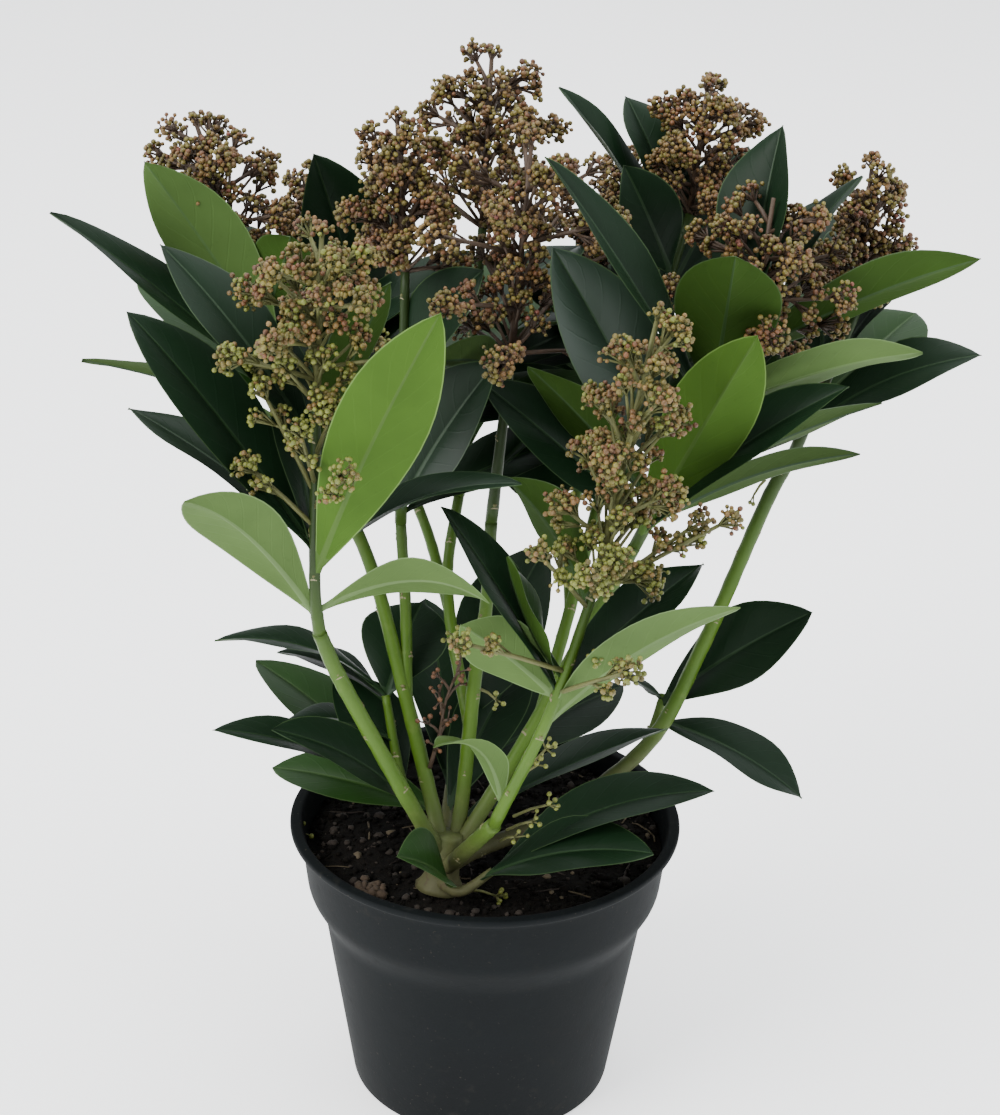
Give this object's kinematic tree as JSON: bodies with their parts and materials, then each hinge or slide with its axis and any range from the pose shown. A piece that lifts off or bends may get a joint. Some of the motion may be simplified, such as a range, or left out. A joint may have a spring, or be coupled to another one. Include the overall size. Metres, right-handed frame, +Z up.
{
  "type": "potted shrub",
  "caption": "Potted skimmia: a small evergreen shrub in bud, with whorls of oval leaves and upright cones of flower buds on green stems, in a round plastic nursery pot.",
  "frame": {"origin": "centre of the pot's flat underside", "axes": "+Z up along the pot's axis; the plant's front faces -Y, and its right-hand side is +X"},
  "size_m": [0.2903, 0.2441, 0.3446],
  "materials": {
    "pot_plastic": "matte",
    "potting_soil": "matte",
    "young_bark": "matte",
    "green_stem": "satin",
    "foliage": "satin"
  },
  "bodies": {
    "root": {"pot": "pot_plastic", "soil": "potting_soil", "trunk": "young_bark", "bough_front_left": "green_stem", "bough_left": "green_stem", "bough_centre": "green_stem", "bough_right": "green_stem", "bough_far_right": "green_stem", "bough_front": "green_stem", "bough_top": "green_stem", "bough_middle_left": "green_stem", "bough_back_right": "green_stem", "bough_back": "green_stem", "bough_far_back": "green_stem", "crown_front_left": "foliage", "crown_left": "foliage", "crown_middle_left": "foliage", "crown_top": "foliage", "crown_centre": "foliage", "crown_back_right": "foliage", "crown_right": "foliage", "crown_far_right": "foliage", "crown_front": "foliage", "crown_back": "foliage", "crown_far_back": "foliage", "foliage_low_left": "foliage", "foliage_low_front": "foliage", "foliage_low_right": "foliage", "foliage_low_back": "foliage"}
  },
  "joints": []
}
